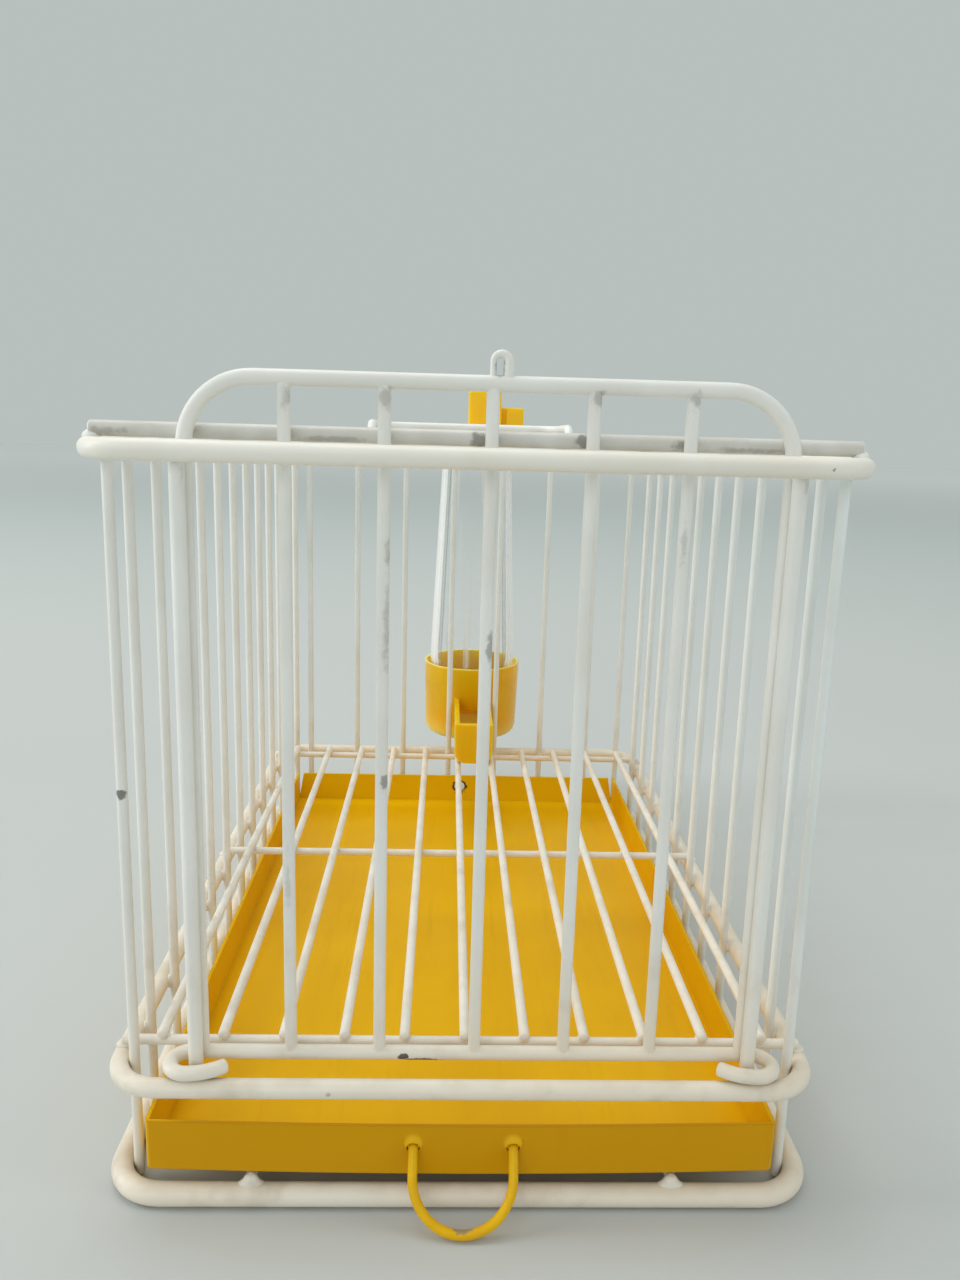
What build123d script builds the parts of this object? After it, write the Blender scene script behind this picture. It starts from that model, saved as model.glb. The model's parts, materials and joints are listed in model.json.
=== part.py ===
from build123d import *
import math
import os

# Bird transport cage. Millimetres, +Z up, +Y to the back, +X to the right.
# The origin is on the ground, at the middle of the rings' plan.

# Rings
ring_width = 150.0
ring_length = 225.0
corner_radius = 10.0
ring_wire = 4.0
base_wire = 4.8
waist_height = 27.0
top_height = 155.0

# Wall, floor and roof wires
wall_wire = 2.2
weld_bite = 0.01
corner_wire_setback = 9.6
second_wire_setback = 23.0
last_wire_setback = 6.0
side_wire_count = 11
back_wire_count = 7
back_wire_left_margin = 10.3
back_wire_right_margin = 17.7
roof_wire_count = 7
roof_wire_margin = 14.0
roof_gap_count = 3
floor_wire_count = 11
floor_wire_margin = 6.5
floor_wire_overhang = 1.4
cross_front_setback = 14.0
cross_back_setback = 18.0

# Door and its guides
door_shift = 1.9
post_wire = 3.0
post_inset = 17.5
slot_wire = 3.0
slot_bar_overhang = 2.0
door_wire = 3.0
door_bar_wire = 2.5
door_bar_drift = (-0.5, -1.0, 0.0, -0.1, -0.7)
door_leg_shift = 0.5
arch_rise = 13.5
arch_radius = 13.0
door_slide_gap = 0.5
door_rest_gap = 0.3
hook_front_gap = 1.2
hook_side_reach = 1.3
hook_tip_radius = 12.0
hook_tip_angle = 38.0
eye_wire = 1.9
eye_width = 3.2
eye_rise = 4.6
eye_shift = 1.5
eye_turn = 38.0

# Tray and its pull
runner_inset = 26.8
runner_setback = 0.7
tray_side_gap = 5.0
tray_setback = 2.6
tray_back_gap = 1.7
tray_height = 11.5
tray_sheet = 0.9
tray_corner = 1.3
tray_slit_width = 1.7
tray_slit_foot = 1.5
tray_edge_radius = 0.8
tray_front_bow = 1.3
tray_lift = 0.3
tray_back_hole = 4.2
tray_back_hole_shift = 1.3
pull_wire = 2.0
pull_spacing = 20.8
pull_hook_radius = 2.2
pull_leg = 4.0
pull_hole_height = 6.9
pull_hole_gap = 0.4
pull_ground_gap = 0.3
pull_dome_radius = 2.2
pull_dome_rise = 0.9
pull_dome_lift = 0.9
pull_hook_angle = 62.0

# Drinker
wires_left_of_drinker_count = 4
cup_ring_gap = 0.4
cup_top_diameter = 41.0
cup_taper = 1.0
cup_bottom_height = 30.5
cup_height = 31.5
cup_wall = 1.1
cup_floor_thickness = 2.0
cup_edge_radius = 3.5
cup_rim_radius = 0.35
cup_ledge_height = 13.5
cup_ledge_width = 2.2
trough_side_gap = 1.1
trough_wall = 1.9
trough_floor = 1.7
trough_corner = 4.5
trough_floor_gap = 0.3
trough_top = 49.3
trough_lip_setback = 36.5
tube_gap = 0.5
tube_wall = 1.2
tube_shoulder = 18.2
tube_top_radius = 14.0
tube_shoulder_rise = 2.0
hanger_skirt = 6.0
hanger_wall = 1.4
hanger_gap = 0.3
hanger_cap = 2.2
hanger_block_width = 13.4
hanger_block_depth = 11.0
hanger_block_height = 16.1
hanger_block_shift = 2.6
hanger_edge_radius = 1.0
hanger_neck_width = 2.3
hanger_neck_depth = 3.0
hanger_tab_width = 7.1
hanger_tab_depth = 6.0
hanger_tab_height = 9.4
hanger_arm_height = 2.4
hanger_side_gap = 1.2
hanger_lip = 2.0
hanger_lip_drop = 8.0
hanger_rail_gap = 0.5

# Carry handle
handle_wire = 2.4
handle_gap_count = 3
handle_reach = 38.0
handle_eye_gap = 0.35
handle_knee = 5.0
handle_knee_rise = 5.2
handle_knee_radius = 4.0
handle_corner_radius = 7.0
handle_rest_gap = 0.3

# Places worked out from the sizes above
front = -ring_length / 2
back = ring_length / 2
inner_half_width = ring_width / 2 - ring_wire
inner_half_length = ring_length / 2 - ring_wire
inner_corner = corner_radius - ring_wire / 2
wall_half = wall_wire / 2
wall_bottom = base_wire / 4
wall_top = top_height + ring_wire / 4
second_wire_y = front + second_wire_setback
last_wire_y = back - last_wire_setback

post_x = ring_width / 2 - post_inset
post_y = front + ring_wire + post_wire / 2 - weld_bite
door_y = post_y + post_wire / 2 + door_slide_gap + door_wire / 2
slot_y = door_y + door_wire / 2 + door_slide_gap + slot_wire / 2
slot_z = top_height + ring_wire / 2 + slot_wire / 2 - weld_bite
rail_z = waist_height + ring_wire / 2 + door_rest_gap + door_wire / 2
arch_z = top_height + arch_rise
hook_front_y = post_y - post_wire / 2 - hook_front_gap - door_wire / 2
hook_radius = (door_y - hook_front_y) / 2

cross_z = waist_height + ring_wire / 2 + wall_half - weld_bite
floor_z = cross_z + wall_wire - weld_bite
cross_front_y = front + cross_front_setback
cross_back_y = back - cross_back_setback
roof_z = top_height + ring_wire / 2 + wall_half - weld_bite
roof_cross_z = roof_z - wall_wire + weld_bite

base_half = base_wire / 2
runner_end = inner_half_length + base_half - runner_setback
runner_seat = base_half + math.sqrt(base_half**2 - runner_setback**2)
runner_z = runner_seat + wall_half - weld_bite
tray_bottom = runner_z + wall_half + tray_lift
tray_front = front + tray_setback
tray_back = inner_half_length - wall_wire - tray_back_gap
tray_half = inner_half_width - tray_side_gap
pull_half = pull_spacing / 2
pull_hole_z = tray_bottom + pull_hole_height
pull_wall_y = tray_front - tray_front_bow * (1 - (pull_half / tray_half) ** 2)

cup_y = back + cup_ring_gap + cup_top_diameter / 2
cup_rim = cup_bottom_height + cup_height
ledge_z = cup_bottom_height + cup_ledge_height
trough_bottom = floor_z + wall_half + trough_floor_gap
trough_lip = back - trough_lip_setback
hanger_arm_z = top_height + ring_wire / 2 + hanger_rail_gap
cap_top = hanger_arm_z + hanger_arm_height
cap_bottom = cap_top - hanger_cap
tube_top = cap_bottom - hanger_gap


def rod(start, end, diameter):
    direction = Vector(*end) - Vector(*start)
    plane = Plane(origin=start, z_dir=direction)
    return Solid.make_cylinder(diameter / 2, direction.length, plane)


def bent(path, diameter):
    wire = path.wire()
    section = Plane(origin=wire @ 0, z_dir=wire % 0) * Circle(diameter / 2)
    return sweep(section, path=wire)


def ring(diameter, height):
    outline = RectangleRounded(
        2 * inner_half_width + diameter,
        2 * inner_half_length + diameter,
        inner_corner + diameter / 2,
    )
    return bent(outline.wire().moved(Location((0, 0, height))), diameter)


def side_seat(y):
    straight = inner_half_length - inner_corner
    over = max(0.0, abs(y) - straight)
    reach = inner_corner - wall_half + weld_bite
    return inner_half_width - inner_corner + math.sqrt(reach**2 - over**2)


def spread(count, start, stop):
    return [start + (stop - start) * index / (count - 1) for index in range(count)]


side_wire_y = spread(side_wire_count, second_wire_y, last_wire_y)
back_wire_x = spread(
    back_wire_count,
    back_wire_left_margin - inner_half_width,
    inner_half_width - back_wire_right_margin,
)
roof_wire_end = inner_half_width - roof_wire_margin
roof_wire_x = spread(roof_wire_count, -roof_wire_end, roof_wire_end)
floor_wire_end = inner_half_width - floor_wire_margin
floor_wire_x = spread(floor_wire_count, -floor_wire_end, floor_wire_end)
roof_cross_y = [
    (side_wire_y[gap] + side_wire_y[gap + 1]) / 2
    for gap in range(1, side_wire_count - 1, roof_gap_count)
]
drinker_left = back_wire_x[wires_left_of_drinker_count - 1] + wall_half
drinker_right = back_wire_x[wires_left_of_drinker_count] - wall_half
drinker_x = (drinker_left + drinker_right) / 2


def save(name, *solids):
    whole = solids[0] if len(solids) == 1 else Compound(children=list(solids))
    export_step(whole, f"parts/{name}.step")


# Rings

def cage_rings():
    top_ring = ring(ring_wire, top_height)
    save("base_ring", ring(base_wire, base_wire / 2))
    save("waist_ring", ring(ring_wire, waist_height))
    save("top_ring", top_ring)
    return top_ring


# Upright wires inside the rings

def wall_wires():
    places = [front + corner_wire_setback] + side_wire_y
    for name, side in (("left", -1), ("right", 1)):
        wires = []
        for y in places:
            x = side * side_seat(y)
            wires.append(rod((x, y, wall_bottom), (x, y, wall_top), wall_wire))
        save(f"side_wires_{name}", *wires)

    y = inner_half_length - wall_half + weld_bite
    for number, x in enumerate(back_wire_x, 1):
        save(f"back_wire_{number}", rod((x, y, wall_bottom), (x, y, wall_top), wall_wire))


# Floor of the cabin

def floor():
    ends = inner_half_width + ring_wire / 2
    places = (("front", cross_front_y), ("middle", 0.0), ("back", cross_back_y))
    for name, y in places:
        save(f"floor_cross_wire_{name}", rod((-ends, y, cross_z), (ends, y, cross_z), wall_wire))
    start = cross_front_y - floor_wire_overhang
    stop = cross_back_y + floor_wire_overhang
    for number, x in enumerate(floor_wire_x, 1):
        save(f"floor_wire_{number}", rod((x, start, floor_z), (x, stop, floor_z), wall_wire))


# Roof: long wires over short cross wires that butt on the top ring

def roof(top_ring):
    start = slot_y + slot_wire / 2 - weld_bite
    stop = back - weld_bite
    for number, x in enumerate(roof_wire_x, 1):
        save(f"roof_wire_{number}", rod((x, start, roof_z), (x, stop, roof_z), wall_wire))
    ends = inner_half_width + ring_wire / 4
    for name, y in zip(("front", "middle", "back"), roof_cross_y):
        wire = rod((-ends, y, roof_cross_z), (ends, y, roof_cross_z), wall_wire)
        save(f"roof_cross_wire_{name}", wire - top_ring)


# Guides of the door

def door_guides():
    for name, side in (("left", -1), ("right", 1)):
        x = door_shift + side * post_x
        start = (x, post_y, waist_height - ring_wire / 4)
        save(f"guide_post_{name}", rod(start, (x, post_y, wall_top), post_wire))
    ends = ring_width / 2 - slot_bar_overhang
    save("door_slot_bar", rod((-ends, slot_y, slot_z), (ends, slot_y, slot_z), slot_wire))


# Lift door

def door():
    place = Pos(door_shift, 0, 0)
    half = post_x - door_leg_shift
    rail_half = post_x + hook_side_reach
    straight = Line((-rail_half, door_y, rail_z), (rail_half, door_y, rail_z))
    right_hook = JernArc((rail_half, door_y, rail_z), (1, 0, 0), hook_radius, -180)
    right_tip = JernArc(right_hook @ 1, right_hook % 1, hook_tip_radius, -hook_tip_angle)
    left_hook = mirror(right_hook, Plane.YZ).edge()
    left_tip = mirror(right_tip, Plane.YZ).edge()
    rail_path = Wire([left_tip, left_hook, straight, right_hook, right_tip])
    rail = bent(rail_path, door_wire)

    arch_path = FilletPolyline(
        (-half, door_y, rail_z),
        (-half, door_y, arch_z),
        (half, door_y, arch_z),
        (half, door_y, rail_z),
        radius=arch_radius,
    )
    core = rod((-half * 2, door_y, rail_z), (half * 2, door_y, rail_z), door_wire)
    crown = rod((-half, door_y, arch_z), (half, door_y, arch_z), door_wire)
    save("door_arch", place * (bent(arch_path, door_wire) - rail))
    save("door_bottom_rail", place * rail)

    even_places = spread(len(door_bar_drift) + 2, -half, half)[1:-1]
    for number, (even_x, drift) in enumerate(zip(even_places, door_bar_drift), 1):
        x = even_x + drift
        bar = rod((x, door_y, rail_z), (x, door_y, arch_z), door_bar_wire)
        save(f"door_bar_{number}", place * (bar - core - crown))

    top = arch_z + door_wire / 2 + eye_rise - eye_wire / 2
    eye_half = eye_width / 2
    eye_path = FilletPolyline(
        (-eye_half, 0, arch_z),
        (-eye_half, 0, top),
        (eye_half, 0, top),
        (eye_half, 0, arch_z),
        radius=eye_half - weld_bite,
    )
    eye_place = Pos(eye_shift, door_y, 0) * Rot(0, 0, eye_turn)
    save("door_eye", place * (eye_place * bent(eye_path, eye_wire) - crown))


# Dropping tray and the rods it slides on

def tray():
    for name, side in (("left", -1), ("right", 1)):
        x = side * (inner_half_width - runner_inset)
        runner = rod((x, -runner_end, runner_z), (x, runner_end, runner_z), wall_wire)
        save(f"tray_runner_{name}", runner)

    left_front = (-tray_half, tray_front)
    right_front = (tray_half, tray_front)
    left_back = (-tray_half, tray_back)
    right_back = (tray_half, tray_back)
    outline = make_face(
        [
            Line(right_front, right_back),
            Line(right_back, left_back),
            Line(left_back, left_front),
            ThreePointArc(left_front, (0, tray_front - tray_front_bow), right_front),
        ]
    )
    outline = fillet(outline.vertices(), tray_corner)
    pan = extrude(Plane.XY.offset(tray_bottom) * outline, tray_height)
    bottom_edges = pan.faces().sort_by(Axis.Z)[0].edges()
    pan = fillet(bottom_edges, tray_edge_radius)
    hollow = Plane.XY.offset(tray_bottom + tray_sheet) * offset(outline, -tray_sheet)
    pan -= extrude(hollow, tray_height)

    hole = pull_wire + 2 * pull_hole_gap
    for x in (-pull_half, pull_half):
        start = (x, pull_wall_y - 2 * pull_dome_rise, pull_hole_z)
        stop = (x, pull_wall_y + 2 * tray_sheet, pull_hole_z)
        bore = rod(start, stop, hole)
        pan = (pan - bore) + (pressed_dome(x) - bore)
    start = (tray_back_hole_shift, tray_back - 2 * tray_sheet, pull_hole_z)
    stop = (tray_back_hole_shift, tray_back + tray_sheet, pull_hole_z)
    pan -= rod(start, stop, tray_back_hole)
    for side in (-1, 1):
        pan -= corner_slit(side)
    save("tray_pan", pan)


def corner_slit(side):
    rise = tray_height - tray_slit_foot
    wedge = Polyline(
        (0, 0), (tray_slit_width, rise), (tray_slit_width, 2 * rise), (0, 2 * rise), close=True
    )
    slit = extrude(Plane.XZ * make_face(wedge), 2 * tray_corner)
    if side > 0:
        slit = mirror(slit, Plane.YZ)
    start = side * (tray_half - tray_sheet)
    return Pos(start, tray_back + tray_corner / 2, tray_bottom + tray_slit_foot) * slit


def pressed_dome(x):
    ball_radius = (pull_dome_radius**2 + pull_dome_rise**2) / (2 * pull_dome_rise)
    root = tray_sheet / 2
    profile = make_face(
        [
            Line((0, root), (pull_dome_radius, root)),
            Line((pull_dome_radius, root), (pull_dome_radius, 0)),
            RadiusArc((pull_dome_radius, 0), (0, -pull_dome_rise), ball_radius),
            Line((0, -pull_dome_rise), (0, root)),
        ]
    )
    place = Pos(x, pull_wall_y, pull_hole_z + pull_dome_lift)
    return place * revolve(profile, Axis.Y)


# Tray pull: each end hooks over the wall under its hole, the loop leans out to the ground

def tray_pull():
    pivot_z = pull_hole_z - pull_hook_radius
    pivot = Vector(-pull_half, pull_wall_y + tray_sheet / 2, pivot_z)
    length = pull_leg + pull_half
    low = pull_wire / 2 + pull_ground_gap
    lean = math.acos((pivot_z - low) / math.hypot(length, pull_hook_radius))
    lean -= math.atan2(pull_hook_radius, length)
    down = Vector(0, -math.sin(lean), -math.cos(lean))
    out = Vector(0, -math.cos(lean), math.sin(lean))

    leave = pivot + out * pull_hook_radius
    knee = leave + down * pull_leg
    hook_size = math.radians(pull_hook_angle) + math.pi / 2 - lean
    hook_start = pivot + out * pull_hook_radius * math.cos(hook_size)
    hook_start -= down * pull_hook_radius * math.sin(hook_size)
    hook_middle = pivot + out * pull_hook_radius * math.cos(hook_size / 2)
    hook_middle -= down * pull_hook_radius * math.sin(hook_size / 2)
    low_point = knee + down * pull_half + Vector(pull_half, 0, 0)
    across = Vector(pull_spacing, 0, 0)
    path = Wire(
        [
            ThreePointArc(hook_start, hook_middle, leave),
            Line(leave, knee),
            ThreePointArc(knee, low_point, knee + across),
            Line(knee + across, leave + across),
            ThreePointArc(leave + across, hook_middle + across, hook_start + across),
        ]
    )
    save("tray_pull", bent(path, pull_wire))


# Drinker cup with its trough, tube and hanger

def revolved(points):
    return revolve(make_face(Polyline(*points, close=True)), Axis.Z)


def drinker():
    place = Location((drinker_x, cup_y, 0))
    top_radius = cup_top_diameter / 2
    bottom_radius = top_radius - cup_taper
    inner_top = top_radius - cup_wall
    well = bottom_radius - cup_wall - cup_ledge_width
    inner_ledge = bottom_radius - cup_wall

    outside = revolved(
        [
            (0, 0, cup_bottom_height),
            (bottom_radius, 0, cup_bottom_height),
            (top_radius, 0, cup_rim),
            (0, 0, cup_rim),
        ]
    )
    outside = fillet(outside.edges().sort_by(Axis.Z)[0], cup_edge_radius)
    inside = revolved(
        [
            (0, 0, cup_bottom_height + cup_floor_thickness),
            (well, 0, cup_bottom_height + cup_floor_thickness),
            (well, 0, ledge_z),
            (inner_ledge, 0, ledge_z),
            (inner_top, 0, cup_rim),
            (0, 0, cup_rim),
        ]
    )

    half = (drinker_right - drinker_left) / 2 - trough_side_gap
    channel_half = half - trough_wall
    channel_bottom = trough_bottom + trough_floor
    channel_corner = trough_corner - trough_wall
    reach = trough_lip - cup_y
    trough = Pos(0, reach, 0) * trough_block(half, trough_bottom, trough_corner, -reach)
    channel_start = reach + trough_wall
    channel = trough_block(channel_half, channel_bottom, channel_corner, -channel_start)
    channel = Pos(0, channel_start, 0) * channel
    port = channel - Pos(0, 0, ledge_z + cup_height) * Box(
        4 * top_radius, 4 * trough_lip_setback, 2 * cup_height
    )
    cup = (outside - inside) + (trough - channel - outside) - port
    cup = fillet(cup.edges().group_by(Axis.Z)[-1], cup_rim_radius)
    save("drinker_cup", place * cup)

    neck = inner_ledge - tube_gap
    tube = revolved(
        [
            (neck, 0, ledge_z + tube_gap),
            (neck, 0, cup_rim),
            (tube_shoulder, 0, cup_rim + tube_shoulder_rise),
            (tube_top_radius, 0, tube_top),
            (0, 0, tube_top),
            (0, 0, tube_top - tube_wall),
            (tube_top_radius - tube_wall, 0, tube_top - tube_wall),
            (tube_shoulder - tube_wall, 0, cup_rim + tube_shoulder_rise),
            (neck - tube_wall, 0, cup_rim),
            (neck - tube_wall, 0, ledge_z + tube_gap),
        ]
    )
    save("drinker_tube", place * tube)
    save("drinker_hanger", place * hanger())


def trough_block(half, bottom, corner, length):
    height = trough_top - bottom
    face = Plane.XZ * (Pos(0, bottom + height / 2) * Rectangle(2 * half, height))
    block = extrude(face, -length)
    low_edges = block.edges().filter_by(Axis.Y).sort_by(Axis.Z)[:2]
    return fillet(low_edges, corner)


def hanger():
    taper = (tube_shoulder - tube_top_radius) / (tube_top - cup_rim - tube_shoulder_rise)
    skirt_bottom = tube_top - hanger_skirt
    low_inner = tube_top_radius + taper * hanger_skirt + hanger_gap
    top_inner = tube_top_radius + hanger_gap
    cap = revolved(
        [
            (low_inner, 0, skirt_bottom),
            (low_inner + hanger_wall, 0, skirt_bottom),
            (top_inner + hanger_wall, 0, cap_top),
            (0, 0, cap_top),
            (0, 0, cap_bottom),
            (top_inner, 0, cap_bottom),
        ]
    )

    block_centre = Vector(hanger_block_shift, 0, cap_top + hanger_block_height / 2)
    block = Box(hanger_block_width, hanger_block_depth, hanger_block_height)
    neck_x = hanger_block_shift + (hanger_block_width + hanger_neck_width) / 2
    tab_x = neck_x + (hanger_neck_width + hanger_tab_width) / 2
    tab_z = cap_top + hanger_tab_height / 2
    neck = Pos(neck_x, 0, tab_z) * Box(hanger_neck_width, hanger_neck_depth, hanger_tab_height)
    tab = Pos(tab_x, 0, tab_z) * Box(hanger_tab_width, hanger_tab_depth, hanger_tab_height)
    grip = Location(block_centre) * block + neck + tab
    grip = fillet(grip.edges().filter_by(Axis.Y), hanger_edge_radius)

    arm_left = roof_wire_x[roof_wire_count // 2] + wall_half + hanger_side_gap - drinker_x
    arm_right = drinker_right - hanger_side_gap - drinker_x
    arm_middle = (arm_left + arm_right) / 2
    arm_width = arm_right - arm_left
    lip_back = back - ring_wire - hanger_rail_gap - cup_y
    lip_front = lip_back - hanger_lip
    arm_centre = Vector(arm_middle, lip_front / 2, (hanger_arm_z + cap_top) / 2)
    arm = Location(arm_centre) * Box(arm_width, -lip_front, hanger_arm_height)
    lip_centre = Vector(arm_middle, (lip_front + lip_back) / 2, cap_top - hanger_lip_drop / 2)
    lip = Location(lip_centre) * Box(arm_width, hanger_lip, hanger_lip_drop)
    return cap + grip + arm + lip


# Carry handle: eyes round the middle roof cross wire, grip lying on the roof wires

def carry_handle():
    pivot_y = roof_cross_y[1]
    eye_radius = wall_half + handle_eye_gap + handle_wire / 2
    grip_z = roof_z + wall_half + handle_rest_gap + handle_wire / 2
    roof_pitch = roof_wire_x[1] - roof_wire_x[0]
    half = roof_pitch * handle_gap_count / 2
    knee_angle = math.atan2(handle_knee_rise, handle_knee)
    start_y = pivot_y + eye_radius * math.cos(knee_angle)
    start_z = roof_cross_z + eye_radius * math.sin(knee_angle)
    knee = (pivot_y + handle_knee, roof_cross_z + handle_knee_rise)
    grip = (pivot_y + handle_reach, grip_z)
    radii = [
        handle_knee_radius,
        handle_corner_radius,
        handle_corner_radius,
        handle_knee_radius,
    ]
    path = FilletPolyline(
        (-half, start_y, start_z),
        (-half, *knee),
        (-half, *grip),
        (half, *grip),
        (half, *knee),
        (half, start_y, start_z),
        radius=radii,
    )
    handle = bent(path, handle_wire)
    for x in (-half, half):
        plane = Plane(origin=(x, pivot_y, roof_cross_z), z_dir=(1, 0, 0))
        handle += Solid.make_torus(eye_radius, handle_wire / 2, plane)
    save("carry_handle", handle)


os.makedirs("parts", exist_ok=True)
top_rail = cage_rings()
wall_wires()
floor()
roof(top_rail)
door_guides()
door()
tray()
tray_pull()
drinker()
carry_handle()
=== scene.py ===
import json
import math
import random

import bmesh
import bpy
from mathutils import Matrix, Vector

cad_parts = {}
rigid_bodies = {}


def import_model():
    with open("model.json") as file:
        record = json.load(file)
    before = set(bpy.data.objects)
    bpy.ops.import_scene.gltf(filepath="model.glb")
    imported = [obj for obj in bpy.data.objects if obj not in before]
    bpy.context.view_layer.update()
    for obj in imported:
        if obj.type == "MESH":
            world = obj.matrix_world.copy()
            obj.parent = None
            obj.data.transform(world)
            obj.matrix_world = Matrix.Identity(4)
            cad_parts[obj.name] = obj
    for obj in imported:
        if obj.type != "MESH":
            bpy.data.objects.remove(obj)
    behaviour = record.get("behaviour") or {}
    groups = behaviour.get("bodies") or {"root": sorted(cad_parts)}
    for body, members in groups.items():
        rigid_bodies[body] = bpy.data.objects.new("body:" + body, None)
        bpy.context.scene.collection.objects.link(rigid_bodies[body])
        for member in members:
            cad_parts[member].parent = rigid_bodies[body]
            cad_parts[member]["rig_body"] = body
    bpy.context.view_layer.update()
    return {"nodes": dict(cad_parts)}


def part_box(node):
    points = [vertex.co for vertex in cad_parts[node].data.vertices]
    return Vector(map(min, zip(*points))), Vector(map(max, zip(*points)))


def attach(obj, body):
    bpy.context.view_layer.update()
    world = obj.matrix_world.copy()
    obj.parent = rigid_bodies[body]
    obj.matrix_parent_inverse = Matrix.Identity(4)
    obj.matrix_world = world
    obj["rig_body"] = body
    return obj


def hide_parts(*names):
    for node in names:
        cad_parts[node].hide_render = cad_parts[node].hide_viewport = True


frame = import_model()
nodes = frame["nodes"]
mm = 0.001

# Camera: the place and angles that the pictured view was taken from
photo_height = 1280.0
focal_pixels = 1001.55
sensor = 36.0
camera_place = Vector((-6.04, -293.38, 160.08)) * mm
camera_yaw = math.radians(2.04)
camera_pitch = math.radians(11.84)
camera_roll = math.radians(1.65)

# Wires of the frame: what counts as a touch, what tells side wires apart, and the turn of the door's hooks
ring_names = ("base_ring", "waist_ring", "top_ring")
touch_gap = 0.15 * mm
wire_apart = 4.0 * mm
hook_turn = math.radians(38.0)

# Smooth shading: points nearer than this are one, and edges that bend more than this stay sharp
merge_distance = 0.0005 * mm
sharp_angle = math.radians(35.0)

# Seed of the random draws
draw_seed = 41

# Weld beads: shares of the wires' radii, drawn at random, and what the weld adds to them
bead_along = (0.5, 0.62)
bead_across = (0.85, 1.0)
bead_deep = (0.75, 0.95)
bead_skirt_along = 0.6 * mm
bead_skirt_across = 0.55 * mm

# Collars of weld on the door's bars: shares of the bar's radius, then height and inset in millimetres
collar_wide = (1.28, 1.42)
collar_deep = (0.88, 0.94)
collar_tall = (0.6, 0.8)
collar_inset = 0.3

# Collar at the foot of the door's eye, its depth as a share of the eye's
eye_collar_lift = 0.2 * mm
eye_collar_skirt = 0.6 * mm
eye_collar_deep = 0.6
eye_collar_tall = 1.1 * mm

# Rounded wire ends, as shares of the wire's radius
end_swell = 1.02
end_rise = (0.3, 0.45)

# Rounded hook tips, as shares of the wire's thickness, and the slice of points that counts as the end
tip_rise = 0.22
tip_radius = 0.505
tip_slice = 0.02 * mm

# Points round a weld foot and round the eye's wire
round_sides = 20

# Weld feet of the tray's rods: height, half width and half depth of each ring, and shift, in millimetres
foot_rings = [
    (-1.9, 4.0, 1.3),
    (-1.2, 3.1, 1.3),
    (-0.7, 2.2, 1.25),
    (-0.1, 1.6, 1.2),
    (0.5, 1.3, 1.1),
    (0.95, 0.8, 0.7),
]
foot_shift = 0.2

# The door's eye: radii of its two legs, and the steps of its bend and of a leg
eye_thin = 0.56 * mm
eye_thick = 1.0 * mm
eye_steps = 16
leg_steps = 4

# The bottle's hanger: its mesh cleaning, rounded edges, and the rim, draft and depth of its sunk top
hanger_merge = 0.002 * mm
hanger_flat = math.radians(1.0)
hanger_level = 0.999
hanger_edge = 0.4 * mm
hanger_edge_steps = 3
hanger_corner = math.radians(50.0)
hanger_rim = 1.3 * mm
hanger_draft = 0.3 * mm
hanger_core = 2.5 * mm

# The drinker's cup, as the frame has it
cup_low, cup_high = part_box("drinker_cup")
cup_radius = (cup_high.x - cup_low.x) / 2
cup_rim = cup_high.z
cup_axis = ((cup_low.x + cup_high.x) / 2, cup_high.y - cup_radius, 0.0)
cup_front = cup_axis[1] - cup_radius

# Heights between which the paint yellows, and depths between which painted shade darkens the tray's front
# wall and painted light brightens its back wall
yellowing_starts, yellowing_full = 84.0 * mm, 12.0 * mm
tray_front_shade_starts, tray_front_shade_full = -109.2 * mm, -109.9 * mm
tray_back_light_starts, tray_back_light_full = 92.0 * mm, 103.0 * mm

# Marks: centre and radii in millimetres, and strength. Most are wear; painted shade and painted highlights
# are noted where they stand
door_marks = [
    ((-17.4, -104.2, 137.4), (0.9, 1.2, 3.4), 0.35),
    ((-17.4, -104.2, 122.0), (0.9, 1.2, 10.5), 0.30),
    ((-17.6, -104.4, 91.2), (0.9, 1.2, 2.0), 0.60),
    ((2.6, -104.3, 118.3), (1.0, 1.2, 4.2), 0.50),
    ((-13.0, -104.9, 30.6), (1.0, 1.0, 0.8), 0.95),
    ((-9.2, -104.6, 29.8), (4.4, 1.2, 0.6), 0.85),
    ((38.9, -104.6, 140.0), (0.8, 1.2, 5.0), 0.25),
    ((-36.7, -104.6, 70.0), (0.8, 1.2, 7.0), 0.22),
    # The next four darken the bars' tops just under the arch
    ((-35.8, -104.6, 165.0), (1.6, 1.6, 2.2), 0.30),
    ((-17.6, -104.6, 165.2), (1.6, 1.6, 2.6), 0.34),
    ((21.4, -104.6, 166.2), (1.4, 1.6, 2.0), 0.40),
    ((39.5, -104.6, 166.6), (1.4, 1.6, 2.2), 0.40),
    # Painted shade within the loop of the door's eye
    ((2.96, -103.5, 171.4), (1.0, 1.6, 2.1), 0.60),
]
cage_marks = [
    ((-69.6, -103.8, 87.5), (1.1, 1.1, 1.2), 0.80),
    # The next two are painted shade at the tops of the guide posts, under the top rail
    ((-53.9, -109.0, 149.6), (1.1, 1.6, 3.0), 0.42),
    ((60.2, -108.4, 151.6), (0.8, 1.2, 1.6), 0.18),
    ((-28.0, -112.8, 27.0), (0.8, 1.0, 0.7), 0.50),
]
slot_marks = [
    ((-0.4, -101.4, 158.1), (2.2, 1.6, 1.7), 0.60),
    ((19.2, -101.4, 158.4), (1.7, 1.6, 1.6), 0.60),
    ((37.8, -101.4, 158.2), (2.2, 1.4, 1.2), 0.50),
    # The next three are painted shade: at the bar's left end against the ring, and along the gap between
    # the bar and the rail
    ((-70.0, -101.4, 158.0), (5.0, 1.4, 1.2), 0.35),
    ((-28.0, -101.4, 157.6), (7.0, 1.2, 0.7), 0.35),
    ((52.0, -101.4, 157.6), (8.0, 1.2, 0.7), 0.35),
]
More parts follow.
